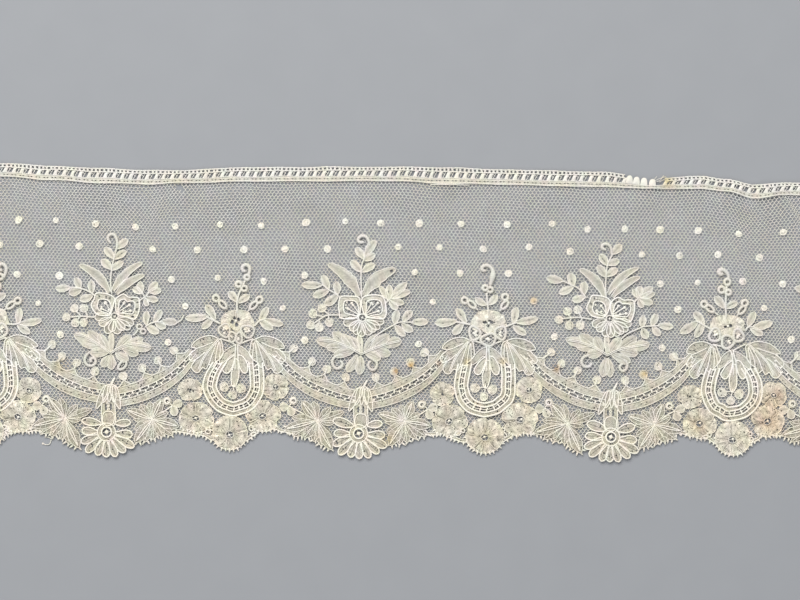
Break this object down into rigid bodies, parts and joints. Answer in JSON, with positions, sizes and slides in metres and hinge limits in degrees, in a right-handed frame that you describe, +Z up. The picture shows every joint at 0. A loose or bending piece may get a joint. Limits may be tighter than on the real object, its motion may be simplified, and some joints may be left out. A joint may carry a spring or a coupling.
{
  "type": "embroidered tulle trim",
  "caption": "Flat length of scalloped lace edging: dotted net ground, ladder heading tape along the top, applied flower sprigs, festoons and blossoms, for sewing along a fabric edge.",
  "frame": {"origin": "middle of the strip's outline, on the surface that it lies on", "axes": "+X along the length, +Y towards the heading tape, +Z up out of the lace's face"},
  "size_m": [0.3408, 0.1042, 0.0025],
  "materials": {
    "tulle": "fine ivory cotton net, matt, slightly greyed with age",
    "tape": "ivory cotton ladder tape with raised cords",
    "lace": "ivory applied bobbin lace, close cloth stitch with raised outline cords",
    "bloom": "ivory applied blossoms and leaves, softly domed, with faint tan and pink age stains"
  },
  "bodies": {
    "root": {"blossom_1a": "bloom", "blossom_1b": "bloom", "blossom_1c": "bloom", "blossom_1d": "bloom", "blossom_1e": "bloom", "blossom_2a": "bloom", "blossom_2b": "bloom", "blossom_2c": "bloom", "blossom_2d": "bloom", "blossom_2e": "bloom", "blossom_3a": "bloom", "blossom_3b": "bloom", "blossom_3c": "bloom", "blossom_3d": "bloom", "blossom_3e": "bloom", "blossom_4a": "bloom", "blossom_4b": "bloom", "blossom_4c": "bloom", "blossom_4d": "bloom", "blossom_4e": "bloom", "drop_1": "lace", "drop_2": "lace", "drop_3": "lace", "drop_4": "lace", "festoon_0b": "lace", "festoon_1a": "lace", "festoon_1b": "lace", "festoon_2a": "lace", "festoon_2b": "lace", "festoon_3a": "lace", "festoon_3b": "lace", "festoon_4a": "lace", "festoon_4b": "lace", "heading_tape": "tape", "leaf_1a": "bloom", "leaf_1b": "bloom", "leaf_2a": "bloom", "leaf_2b": "bloom", "leaf_3a": "bloom", "leaf_3b": "bloom", "leaf_4a": "bloom", "leaf_4b": "bloom", "medallion_1": "lace", "medallion_2": "lace", "medallion_3": "lace", "medallion_4": "lace", "sprig_1": "lace", "sprig_2": "lace", "sprig_3": "lace", "sprig_4": "lace", "tulle_ground": "tulle"}
  },
  "joints": []
}
